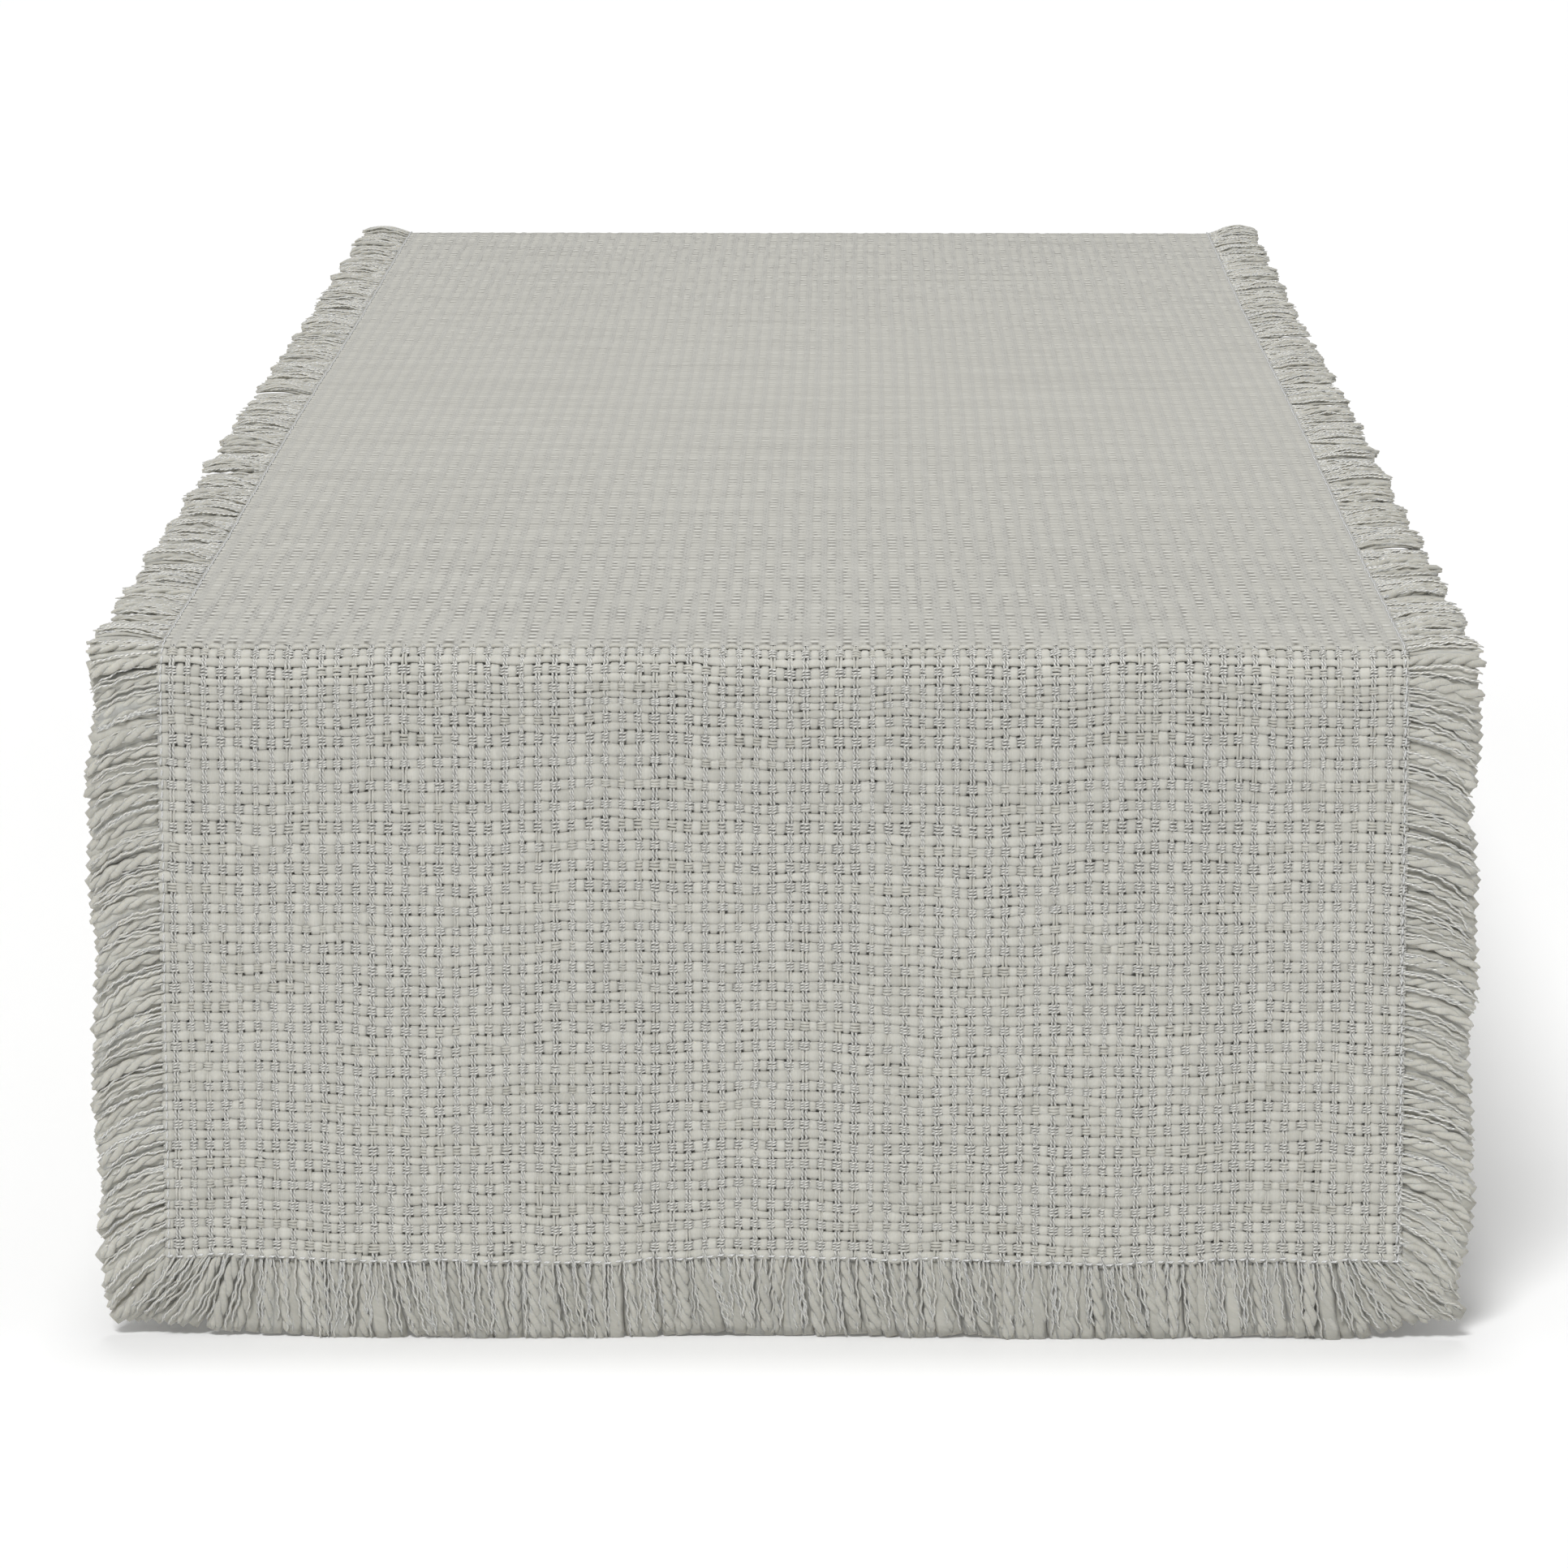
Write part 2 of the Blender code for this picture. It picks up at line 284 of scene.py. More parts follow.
class Finish:
    """A material under construction: add() makes a node and joins its inputs, each a value, a socket or
    a node. The mix nodes hold a set of sockets for each kind of data, so these are picked by number."""

    def __init__(self, name):
        self.material = bpy.data.materials.new(name)
        self.material.use_nodes = True
        self.tree = self.material.node_tree
        self.shader = self.tree.nodes["Principled BSDF"]

    def add(self, kind, inputs=(), **settings):
        made = self.tree.nodes.new(kind)
        for key, value in settings.items():
            setattr(made, key, value)
        for key, value in dict(inputs).items():
            self.join(value, made.inputs[key])
        return made

    def join(self, value, socket):
        if isinstance(value, bpy.types.Node):
            value = value.outputs[0]
        if isinstance(value, bpy.types.NodeSocket):
            self.tree.links.new(value, socket)
        else:
            socket.default_value = value

    def math(self, operation, *values, clamped=False):
        return self.add("ShaderNodeMath", dict(enumerate(values)), operation=operation, use_clamp=clamped)

    def times(self, value, factor):
        return self.math("MULTIPLY", value, factor)

    def ramp(self, value, slope, start, clamped=False):
        """The value times slope, plus start."""
        return self.math("MULTIPLY_ADD", value, slope, start, clamped=clamped)

    def noise(self, x, y, z, detail, roughness=0.5):
        """Smooth noise of about a half, read at the three given values."""
        inputs = {"Vector": self.vector(x, y, z), "Scale": 1.0, "Detail": detail, "Roughness": roughness}
        return self.add("ShaderNodeTexNoise", inputs).outputs[0]

    def yarn_map(self):
        uv = self.add("ShaderNodeSeparateXYZ", {0: self.add("ShaderNodeUVMap", uv_map="yarn")})
        return uv.outputs[0], uv.outputs[1]

    def value_of(self, name):
        return self.add("ShaderNodeAttribute", attribute_name=name).outputs["Fac"]

    def colour_mix(self, share, first, second):
        made = self.add("ShaderNodeMix", data_type="RGBA")
        self.join(share, made.inputs[0])
        self.join(first, made.inputs[6])
        self.join(second, made.inputs[7])
        return made.outputs[2]

    def number_mix(self, share, first, second):
        made = self.add("ShaderNodeMix", data_type="FLOAT")
        self.join(share, made.inputs[0])
        self.join(first, made.inputs[2])
        self.join(second, made.inputs[3])
        return made.outputs[0]

    def vector(self, x, y, z):
        return self.add("ShaderNodeCombineXYZ", {0: x, 1: y, 2: z})


COTTON_PALE = (0.618, 0.609, 0.554, 1)
COTTON_DEEP = (0.392, 0.385, 0.342, 1)
# The silvery yarn's two colours are a painted highlight and a painted shade; mixed, they give its own grey.
SILVER_PAINTED_LIT = (0.805, 0.800, 0.755, 1)
SILVER_PAINTED_SHADE = (0.335, 0.332, 0.310, 1)
# Painted shade for the woven face's furrows and dashes; its long darker streaks use this colour too.
PAINTED_SHADE_AND_STREAK = (0.170, 0.160, 0.135, 1)
# The sewing thread's ply crests, a painted highlight, and its furrows, a painted shade.
THREAD_PAINTED_LIT = (0.790, 0.795, 0.785, 1)
THREAD_PAINTED_SHADE = (0.560, 0.565, 0.560, 1)
FACE_SHARE = 1.05  # the woven face's colours against these
DULL, SILKY = 0.88, 0.45  # roughness of thick and fine yarns


def dimmed(colour, share):
    """The colour times share."""
    return tuple(share * part for part in colour[:3]) + (1,)


def soften(shader, share):
    """Light goes up to a millimetre into the cotton, which keeps its furrows soft and warm."""
    shader.inputs["Subsurface Weight"].default_value = share
    shader.inputs["Subsurface Radius"].default_value = (1.0, 0.86, 0.62)
    shader.inputs["Subsurface Scale"].default_value = 1.1 * MM


def sheen(shader):
    """The pale bloom that cotton fluff gives at a low angle."""
    shader.inputs["Sheen Weight"].default_value = 0.25
    shader.inputs["Sheen Roughness"].default_value = 0.5


def two_plies(f, turns, length, winding):
    """0 in the furrows and 1 on the crests of two plies that wind round each other once in winding
    millimetres: a sine of two turns round the yarn plus the length run."""
    ply = f.math("ADD", f.times(turns, 2.0), f.math("DIVIDE", length, winding))
    return f.ramp(f.math("SINE", f.times(ply, 2 * math.pi)), 0.5, 0.5)


def yarn_finish(name, cotton_turn, silver_turn, glow, share, depth):
    """Soft cotton that turns into a fine silvery two-ply where the piece's silver value is 1. Both have
    fibres or plies that run along the yarn and wind round it once in cotton_turn or silver_turn
    millimetres. Cotton gets a painted highlight, paler where it humps up out of the weave. The silvery
    yarn's colour is a painted highlight on its ply crests and glints and a painted shade in its ply
    furrows. glow lightens the silvery yarn, share dims both colours, and depth is how much of the light
    goes into the yarn."""
    f = Finish(name)
    turns, length = f.yarn_map()
    tone, silver = f.value_of("tone"), f.value_of("silver")
    seed = f.times(tone, 61.0)

    wound = f.math("ADD", turns, f.math("DIVIDE", length, cotton_turn))
    fibre = f.noise(f.times(wound, 7.0), f.times(length, 0.35), seed, 4.0, 0.62)
    blotch = f.noise(f.times(length, 0.11), seed, 0.0, 2.0)
    rope = two_plies(f, turns, length, silver_turn)
    glint = f.noise(f.times(turns, 5.0), f.times(length, 1.7), seed, 2.0, 0.7)

    cotton_share = f.ramp(fibre, 0.9, f.times(tone, 0.22))
    cotton_share = f.math("ADD", cotton_share, f.ramp(blotch, 0.5, -0.40))
    # Painted highlight: cotton is paler where it humps up out of the weave.
    cotton_share = f.ramp(f.value_of("hump"), 0.5, cotton_share)
    cotton = f.colour_mix(cotton_share, dimmed(COTTON_DEEP, share), dimmed(COTTON_PALE, share))
    # Painted highlight on the ply crests and glints, painted shade in the ply furrows; glow lifts it all.
    silver_share = f.ramp(rope, f.ramp(glint, 1.6, -0.05), glow)
    silver_colour = f.colour_mix(silver_share, dimmed(SILVER_PAINTED_SHADE, share), dimmed(SILVER_PAINTED_LIT, share))
    f.join(f.colour_mix(silver, cotton, silver_colour), f.shader.inputs["Base Color"])

    shiny = f.ramp(glint, 0.5, 0.18)
    f.join(f.number_mix(silver, DULL, shiny), f.shader.inputs["Roughness"])
    f.join(f.times(silver, 0.22), f.shader.inputs["Metallic"])
    relief = f.number_mix(silver, fibre, rope)
    bump = f.add("ShaderNodeBump", {"Height": relief, "Strength": 0.55, "Distance": 0.25 * MM})
    f.join(bump, f.shader.inputs["Normal"])
    soften(f.shader, depth)
    sheen(f.shader)
    return f.material


def woven_relief(f, warp, weft):
    """Nodes that repeat the weave's own rule on a sheet. Each yarn's top is its middle, which swings
    with the crossing number, plus the roundness of one thick or some fine threads, and the higher of
    warp and weft shows. Gives the height in millimetres, 1 where a weft shows and 1 where the yarn that
    shows is fine."""

    def yarn(number, other, first_on_top, crimp, threads):
        own = f.math("ROUND", number)
        off = f.math("SUBTRACT", number, own)
        fine = f.math("FLOORED_MODULO", own, 2.0)
        swing = f.math("COSINE", f.times(f.math("ADD", own, other), math.pi))
        on_top = f.ramp(swing, 0.5 if first_on_top else -0.5, 0.5)
        widened = f.times(off, ROUNDNESS)
        squared = f.times(widened, widened)
        round_one = f.math("SQRT", f.math("MAXIMUM", f.math("SUBTRACT", 1.0, squared), 0.0))
        turn = f.ramp(off, threads * math.pi, 0.0 if threads % 2 else math.pi / 2)
        round_few = f.math("ABSOLUTE", f.math("COSINE", turn))
        (low, high), (fine_low, fine_high) = crimp["cotton"], crimp["silver"]
        thick_top = f.ramp(on_top, (high - low) / MM, low / MM)
        thick_top = f.ramp(round_one, COTTON_HALF_HEIGHT / MM, thick_top)
        fine_top = f.ramp(on_top, (fine_high - fine_low) / MM, fine_low / MM)
        fine_top = f.ramp(round_few, SILVER_RADIUS / MM, fine_top)
        return f.number_mix(fine, thick_top, fine_top), fine

    warp_top, warp_fine = yarn(warp, weft, False, WARP_CRIMP, SILVER_PER_WARP)
    weft_top, weft_fine = yarn(weft, warp, True, WEFT_CRIMP, SILVER_PER_WEFT)
    height = f.math("MAXIMUM", warp_top, weft_top)
    weft_shows = f.math("GREATER_THAN", weft_top, warp_top)
    return height, weft_shows, f.number_mix(weft_shows, warp_fine, weft_fine)


def woven_finish(name, relief_strength):
    """Whole cloth. Its UV map counts warps and wefts, with yarn middles at whole numbers.
    woven_relief() gives its height. Long streaks along the wefts are darker, and the furrows between
    yarns get painted shade. The silvery yarns' grain is a painted highlight and a painted shade. In
    loose places each thick warp carries dashes, painted shade and painted highlight in turn from weft
    to weft, the painted furrow shade is deeper, and the relief is stronger. These places are patches
    long in the warp's way and now and then a whole row, and they grow fainter towards the middle of the
    runner."""
    f = Finish(name)
    warp, weft = f.yarn_map()
    height, weft_shows, fine = woven_relief(f, warp, weft)

    x, y = f.times(warp, WARP_SCALE), f.times(weft, WEFT_SCALE)
    square, run = f.number_mix(weft_shows, x, y), f.number_mix(weft_shows, y, x)
    fibre = f.noise(f.times(square, 3.2), f.times(run, 0.6), weft_shows, 4.0, 0.62)
    grain_and_painted_glints = f.noise(f.times(square, 2.1), f.times(run, 1.6), 3.0, 2.0, 0.7)
    uneven = f.noise(f.times(x, 0.17), f.times(y, 0.17), 0.0, 3.0)
    streak = f.noise(f.times(x, 0.010), f.times(y, 0.085), 2.0, 3.0, 0.75)
    patch = f.noise(f.times(x, 0.36), f.times(y, 0.040), 5.0, 2.0, 0.6)
    row = f.noise(f.times(x, 0.011), f.times(y, 0.16), 9.0, 1.0, 0.6)

    cotton_share = f.ramp(fibre, 0.9, f.ramp(uneven, 0.5, -0.15))
    cotton = f.colour_mix(cotton_share, dimmed(COTTON_DEEP, FACE_SHARE), dimmed(COTTON_PALE, FACE_SHARE))
    # The silvery grain in colour is a painted highlight and a painted shade.
    silver_share = f.ramp(grain_and_painted_glints, 2.6, -0.85)
    silver = f.colour_mix(silver_share, dimmed(SILVER_PAINTED_SHADE, FACE_SHARE), dimmed(SILVER_PAINTED_LIT, FACE_SHARE))
    colour = f.colour_mix(f.times(fine, 0.30), cotton, silver)
    # Long streaks along the wefts are darkened towards the same colour as the painted shade.
    colour = f.colour_mix(f.ramp(streak, 0.55, -0.19, clamped=True), colour, PAINTED_SHADE_AND_STREAK)

    # Loose places: stronger bump, and deeper painted shade and painted highlight below.
    from_middle = f.math("ABSOLUTE", f.math("SUBTRACT", weft, WEFTS / 2))
    near = f.ramp(from_middle, 2.4 / WEFTS, 0.20, clamped=True)
    patch = f.ramp(patch, 7.0, -3.2, clamped=True)
    row = f.ramp(row, 9.0, -5.2, clamped=True)
    loose = f.times(f.math("MAXIMUM", patch, row), near)
    loose = f.math("MAXIMUM", loose, 0.15)

    # Painted shade in the furrows: the lower the cloth, the darker.
    depth = f.ramp(height, -0.95, 0.85, clamped=True)
    painted_furrow_shade = f.times(f.times(depth, loose), 0.6)
    # Painted shade and painted highlight in turn from weft to weft along the thick warps.
    ridge = f.math("COSINE", f.times(weft, math.pi))
    lane = f.ramp(f.math("COSINE", f.times(warp, math.pi)), 0.9, 0.35, clamped=True)
    painted_dash_light_and_shade = f.times(f.times(ridge, lane), loose)
    colour = f.colour_mix(painted_furrow_shade, colour, PAINTED_SHADE_AND_STREAK)
    colour = f.colour_mix(f.math("MULTIPLY", painted_dash_light_and_shade, -1.0, clamped=True), colour, PAINTED_SHADE_AND_STREAK)
    colour = f.colour_mix(f.math("MULTIPLY", painted_dash_light_and_shade, 0.80, clamped=True), colour, SILVER_PAINTED_LIT)
    f.join(colour, f.shader.inputs["Base Color"])
    f.join(f.number_mix(fine, DULL, SILKY), f.shader.inputs["Roughness"])

    relief = f.ramp(f.number_mix(fine, fibre, grain_and_painted_glints), 0.22, height)
    strength = f.ramp(loose, relief_strength, 0.5 * relief_strength)
    bump = f.add("ShaderNodeBump", {"Height": relief, "Strength": strength, "Distance": MM})
    f.join(bump, f.shader.inputs["Normal"])
    sheen(f.shader)
    return f.material


def thread_finish():
    """Bright silver-white sewing thread, two plies that wind round each other every 1.1 mm. Its colour
    is a painted highlight on the ply crests and a painted shade in the furrows between them.
    """
    f = Finish("stitch_thread")
    rope = two_plies(f, *f.yarn_map(), 1.1)
    f.join(f.colour_mix(rope, THREAD_PAINTED_SHADE, THREAD_PAINTED_LIT), f.shader.inputs["Base Color"])
    f.shader.inputs["Roughness"].default_value = 0.35
    f.shader.inputs["Metallic"].default_value = 0.2
    bump = f.add("ShaderNodeBump", {"Height": rope, "Strength": 0.6, "Distance": 0.2 * MM})
    f.join(bump, f.shader.inputs["Normal"])
    return f.material


def plain_finish(name, colour, roughness):
    f = Finish(name)
    f.shader.inputs["Base Color"].default_value = colour
    f.shader.inputs["Roughness"].default_value = roughness
    return f.material


# ---- where each yarn of the weave lies ----


def knots(count, pair, share, start, rng):
    """Places of yarn edges and middles, at every half of the yarn number, from the first yarn's near
    edge. Thick and fine yarns take share and the rest of each pair, and inner edges are nudged a
    little."""
    number = np.arange(count + 1)
    edge = start + pair * (number // 2 + share * (number % 2))
    edge[1:-1] += rng.normal(0, EDGE_NUDGE * pair / 2, count - 1)
    places = np.empty(2 * count + 1)
    places[0::2] = edge
    places[1::2] = (edge[:-1] + edge[1:]) / 2
    return places


def gathered(places):
    """Draws wefts together just below each bend: a place moves towards the gather's middle by a share
    of its distance, which fades as a bell curve."""
    away = np.abs(places) - (FLAT + ARC + GATHER_BELOW)
    return places - np.sign(places) * GATHER * away * np.exp(-((away / GATHER_REACH) ** 2))


grain_rng = np.random.default_rng(11)
WARP_KNOTS = knots(WARPS, 2 * HALF_WIDTH / WARP_PAIRS, COTTON_WARP_SHARE, -HALF_WIDTH, grain_rng)
WEFT_KNOTS = gathered(knots(WEFTS, 2 * PITCH, COTTON_WEFT_SHARE, -HEM, grain_rng))
WARP_TONE = grain_rng.normal(0, WARP_TONE_SPREAD, WARPS)
WEFT_TONE = grain_rng.normal(0, WEFT_TONE_SPREAD, WEFTS)
WARP_PATCH = grain_rng.uniform(0, 2 * math.pi, (3, WARPS))
WEFT_PATCH = grain_rng.uniform(0, 2 * math.pi, (3, WEFTS))
WARP_NUMBERS = np.arange(2 * WARPS + 1) / 2 - 0.5  # of the knots
WEFT_NUMBERS = np.arange(2 * WEFTS + 1) / 2 - 0.5


def warp_place(number):
    """Across-position of a warp number, where whole numbers are yarn middles."""
    return np.interp(number, WARP_NUMBERS, WARP_KNOTS)


def weft_place(number):
    """Along-position of a weft number, in the same way."""
    return np.interp(number, WEFT_NUMBERS, WEFT_KNOTS)


def patches(phases, number, place, silver_kind):
    """How silvery a yarn is at a place: three long sines of its own phases, set against a level, so
    that the fine yarns turn to plain cotton now and then. The thick yarns are always cotton."""
    a, b, c = (phases[k][number] for k in range(3))
    field = np.sin(place * 71 + a) + 0.8 * np.sin(place * 133 + b) + 0.6 * np.sin(place * 37 + c)
    level = np.where(silver_kind, 0.95, -4.0)
    return smooth(field + level, -0.45, 0.45)


def warp_on_top(own, crossing):
    """1 where a warp passes over a weft, 0 where it passes under, and a cosine between. The warp is on
    top where both numbers add to an odd number, so a cotton warp passes over fine wefts and under
    cotton ones."""
    return 0.5 - 0.5 * np.cos(math.pi * (own + crossing))


def middle(crimp, on_top):
    """Height of a yarn's middle, from its lowest under a crossing to its highest over one."""
    low, high = crimp
    return low + (high - low) * on_top


# ---- the pieces ----


def split_evenly(count, parts):
    """The numbers below count, in parts runs of about the same length."""
    edges = np.linspace(0, count, parts + 1).astype(int)
    return [np.arange(a, b) for a, b in zip(edges[:-1], edges[1:])]


def end_wefts(end):
    """The weft numbers between which one bend and drop lie."""
    return (-0.5, SPLIT_PICK - 0.5) if end == "front" else (WEFTS - SPLIT_PICK - 0.5, WEFTS - 0.5)


def slubs(place, rows, rng):
    """A yarn's thickness along it: an even wobble round 1, and now and then a thick slub."""
    wobble = 0.15 * wander(place, 0.016, rng, rows)
    slub = 0.20 * smooth(wander(place, 0.05, rng, rows), 0.4, 1.2)
    return 1 + wobble + slub


def thread_rows(yarns, threads):
    """Yarn number of each thread, and its lane from the yarn's middle, as columns with one line a
    thread."""
    own = np.repeat(yarns, threads)[:, None]
    lane = np.tile(np.arange(threads) - (threads - 1) / 2, len(yarns))[:, None]
    return own, lane


def woven_end(end, finish, rng):
    """The interlaced yarns of one bend and drop, as eight pieces: cotton and silver, warp and weft, in
    halves. Each yarn keeps to the place of its number and wanders a little, and its height is the
    cosine of its crossings between its two crimp heights. A fine yarn is two or three threads side by
    side, and a thick one is a flat ellipse that widens where it is on top."""
    first, last = end_wefts(end)
    made = []

    def warp_piece(name, warps, kind):
        is_silver = kind == "silver"
        threads, steps, sides = (SILVER_PER_WARP, 2, 5) if is_silver else (1, 3, 6)
        crossing = np.arange(first, last + 1e-6, 1 / steps)[None]
        along = weft_place(crossing)
        own, lane = thread_rows(warps, threads)
        count = len(own)
        room = warp_place(own + 0.5) - warp_place(own - 0.5)
        slub = slubs(along, count, rng)
        on_top = warp_on_top(own, crossing)
        if is_silver:
            half_wide = half_thick = SILVER_RADIUS * (0.90 + 0.12 * slub)
            shift = lane * room / threads * FINE_SPREAD + FINE_WANDER * wander(along, 0.006, rng, count)
        else:
            half_wide = room / 2 * (0.84 + 0.11 * on_top) * slub
            half_thick = COTTON_HALF_HEIGHT * (0.5 + 0.5 * slub)
            shift = THICK_WANDER * wander(along, 0.020, rng, count)
        height = middle(WARP_CRIMP[kind], on_top) + HEIGHT_WANDER * wander(along, 0.011, rng, count)
        paths = lay(warp_place(own) + shift, along + 0 * shift, height)
        silver = patches(WARP_PATCH, own, along, is_silver)
        tone = WARP_TONE[own] + TONE_WANDER * wander(along, 0.013, rng, count)
        wide_way = (1, 0, 0)
        made.append(tubes(name, paths, half_wide, half_thick, wide_way, sides, tone, silver, finish, on_top))

    def weft_piece(name, wefts, kind):
        is_silver = kind == "silver"
        threads, steps, sides = (SILVER_PER_WEFT, 2, 5) if is_silver else (1, 3, 6)
        crossing = np.arange(-0.5, WARPS - 0.5 + 1e-6, 1 / steps)[None]
        across = warp_place(crossing)
        own, lane = thread_rows(wefts, threads)
        count = len(own)
        room = weft_place(own + 0.5) - weft_place(own - 0.5)
        slub = slubs(across, count, rng)
        on_top = 1 - warp_on_top(own, crossing)
        if is_silver:
            half_wide = half_thick = SILVER_RADIUS * (0.90 + 0.12 * slub)
            shift = lane * room / threads * FINE_SPREAD + FINE_WANDER * wander(across, 0.006, rng, count)
        else:
            from_bend = (np.abs(weft_place(own)) - FLAT - ARC) / NARROWING_REACH
            narrow = 1 - NARROWING * np.exp(-(from_bend**2))
            half_wide = room / 2 * (0.74 + 0.22 * on_top) * slub * narrow
            half_thick = COTTON_HALF_HEIGHT * (0.5 + 0.5 * slub)
            shift = THICK_WANDER * wander(across, 0.022, rng, count)
        height = middle(WEFT_CRIMP[kind], on_top) + HEIGHT_WANDER * wander(across, 0.011, rng, count)
        along = weft_place(own) + shift
        paths = lay(across + 0 * along, along, height)
        silver = patches(WEFT_PATCH, own, across, is_silver)
        tone = WEFT_TONE[own] + TONE_WANDER * wander(across, 0.013, rng, count)
        wide_way = unit(np.cross(outward(across + 0 * along, along), (1.0, 0.0, 0.0)))
        made.append(tubes(name, paths, half_wide, half_thick, wide_way, sides, tone, silver, finish, on_top))

    warps, wefts = np.arange(WARPS), np.arange(math.ceil(first), math.floor(last) + 1)
    for odd, kind in enumerate(("cotton", "silver")):
        for make, yarns, way in ((warp_piece, warps, "warp"), (weft_piece, wefts, "weft")):
            mine = yarns[yarns % 2 == odd]
            for k, part in enumerate(split_evenly(len(mine), 2)):
                make(f"{end}_{kind}_{way}_{k + 1}", mine[part], kind)
    return made


def woven_sheet(name, first, last, finish):
    """The woven face between two weft numbers as one sheet, with three points across each pair of warps
    and one on each weft. At each point both yarns have a top, their middle plus the roundness of an
    ellipse, and the higher one counts. The finish adds what lies between the points."""
    in_pair = np.array([-0.3, 0.3, 1.0])
    in_pairs = (2 * np.arange(WARP_PAIRS)[:, None] + in_pair).ravel()
    warp_at = np.concatenate([[-0.5], in_pairs, [WARPS - 0.5]])[None]
    whole = np.arange(math.ceil(first), math.floor(last) + 1.0)
    weft_at = np.concatenate([[first], whole, [last]])[:, None]
    own_warp = np.clip(np.round(warp_at), 0, WARPS - 1).astype(int)
    own_weft = np.clip(np.round(weft_at), 0, WEFTS - 1).astype(int)

    def top_of(own, place, over, crimp):
        fine = own % 2 == 1
        half = np.where(fine, SILVER_RADIUS, COTTON_HALF_HEIGHT)
        mid = np.where(fine, middle(crimp["silver"], over), middle(crimp["cotton"], over))
        return mid + half * np.sqrt(np.clip(1 - (ROUNDNESS * (place - own)) ** 2, 0, 1))

    warp_top = top_of(own_warp, warp_at, warp_on_top(own_warp, weft_at), WARP_CRIMP)
    weft_top = top_of(own_weft, weft_at, 1 - warp_on_top(own_weft, warp_at), WEFT_CRIMP)
    height = np.maximum(warp_top, weft_top)
    across = warp_place(warp_at) + 0 * weft_at
    along = weft_place(weft_at) + 0 * warp_at
    uneven = np.sin(along * 190 + own_warp * 2.4) * np.sin(across * 170 + own_weft * 1.7)
    uv = np.stack([warp_at + 0 * weft_at, weft_at + 0 * warp_at], axis=-1)
    return sheet_grid(name, lay(across, along, height + FACE_WANDER * uneven), uv, finish)


def backing(end, finish):
    """The inside of the cloth for one half of the runner: a plain sheet that the yarns stand on, a
    millimetre under the cloth's middle, and closer behind the front's separate yarns. Its rows are 4 mm
    apart on the table and closer round the bend."""
    before_bend, past_bend = FLAT - 20 * MM, FLAT + ARC + 10 * MM
    flat_part = np.arange(0, before_bend, 4 * MM)
    bend_part = np.linspace(before_bend, past_bend, 28)
    drop_part = np.linspace(past_bend + 4 * MM, HEM, 36)
    along = np.sort(ENDS[end] * np.concatenate([flat_part, bend_part, drop_part]))[:, None]
    across = np.linspace(-HALF_WIDTH, HALF_WIDTH, 81)[None]
    closer = 0.4 * smooth(-along, SPLIT - 4 * MM, SPLIT) if end == "front" else 0.0
    points = lay(across + 0 * along, along + 0 * across, -(1.0 - closer) * MM + 0 * across)
    warp = np.interp(across, WARP_KNOTS, WARP_NUMBERS)
    weft = np.interp(along, WEFT_KNOTS, WEFT_NUMBERS)
    uv = np.stack([warp + 0 * weft, weft + 0 * warp], axis=-1)
    return sheet_grid(f"{end}_cloth_backing", points, uv, finish)


def strand_paths(strands, rings):
    """Loose yarn ends. Each starts at its root and heads outwards, turns towards its fall direction by
    an angle that goes from turn to end_turn, and rises by lift and falls back. The path is the running
    sum of its steps."""
    t = np.linspace(0, 1, rings)[None]
    turn = strands["turn"][:, None] + (strands["end_turn"] - strands["turn"])[:, None] * t**1.2
    rise = strands["lift"][:, None] * np.cos(math.pi * t * 0.85)
    way = (
        np.cos(turn)[..., None] * strands["out"][:, None]
        + np.sin(turn)[..., None] * strands["fall"][:, None]
        + rise[..., None] * strands["up"][:, None]
    )
    step = unit(way) * (strands["length"] / (rings - 1))[:, None, None]
    return strands["root"][:, None] + np.cumsum(step, axis=1) - step


def frames(paths, up):
    """Length run so far, and two directions square to each path: sideways and upwards."""
    step = np.linalg.norm(np.diff(paths, axis=1), axis=-1)
    run = np.concatenate([np.zeros((len(paths), 1)), np.cumsum(step, axis=1)], axis=1)
    way = unit(np.gradient(paths, axis=1))
    above = unit(up[:, None] - (up[:, None] * way).sum(-1, keepdims=True) * way)
    return run, np.cross(way, above), above


def cotton_strands(name, strands, rings, sides, finish, rng):
    """Soft two-ply ends. Two round plies wind about each strand's path, half a turn apart: narrow at
    the root, where the stitching holds them, then puffed up, and cut off blunt."""
    paths = strand_paths(strands, rings)
    count = len(paths)
    t = np.linspace(0, 1, rings)[None]
    run, side, above = frames(paths, strands["up"])
    angle = 2 * math.pi * run / (rng.uniform(8.0, 11.5, (count, 1)) * MM)
    angle = angle + rng.uniform(0, 2 * math.pi, (count, 1))
    puff = (0.62 + 0.38 * smooth(t, 0.0, 0.22)) * (1 - 0.25 * smooth(t, 0.85, 1.0))
    puff = puff * (1 + 0.10 * wander(run, 0.009, rng, count)) * rng.uniform(0.88, 1.14, (count, 1))
    radius = PLY_RADIUS * puff * np.where(t >= 1, 0.45, 1.0)
    tone = rng.normal(0, 0.45, (count, 1)) + 0.3 * wander(run, 0.009, rng, count)
    plies = []
    for half in (0, math.pi):
        swing = np.cos(angle + half)[..., None] * side + 0.6 * np.sin(angle + half)[..., None] * above
        plies.append(paths + (PLY_OFFSET * puff)[..., None] * swing)
    paths = np.concatenate(plies)
    radius, side, tone = (np.concatenate([value] * 2) for value in (radius, side, tone))
    return tubes(name, paths, radius, radius * 0.82, side, sides, tone, 0.0, finish)


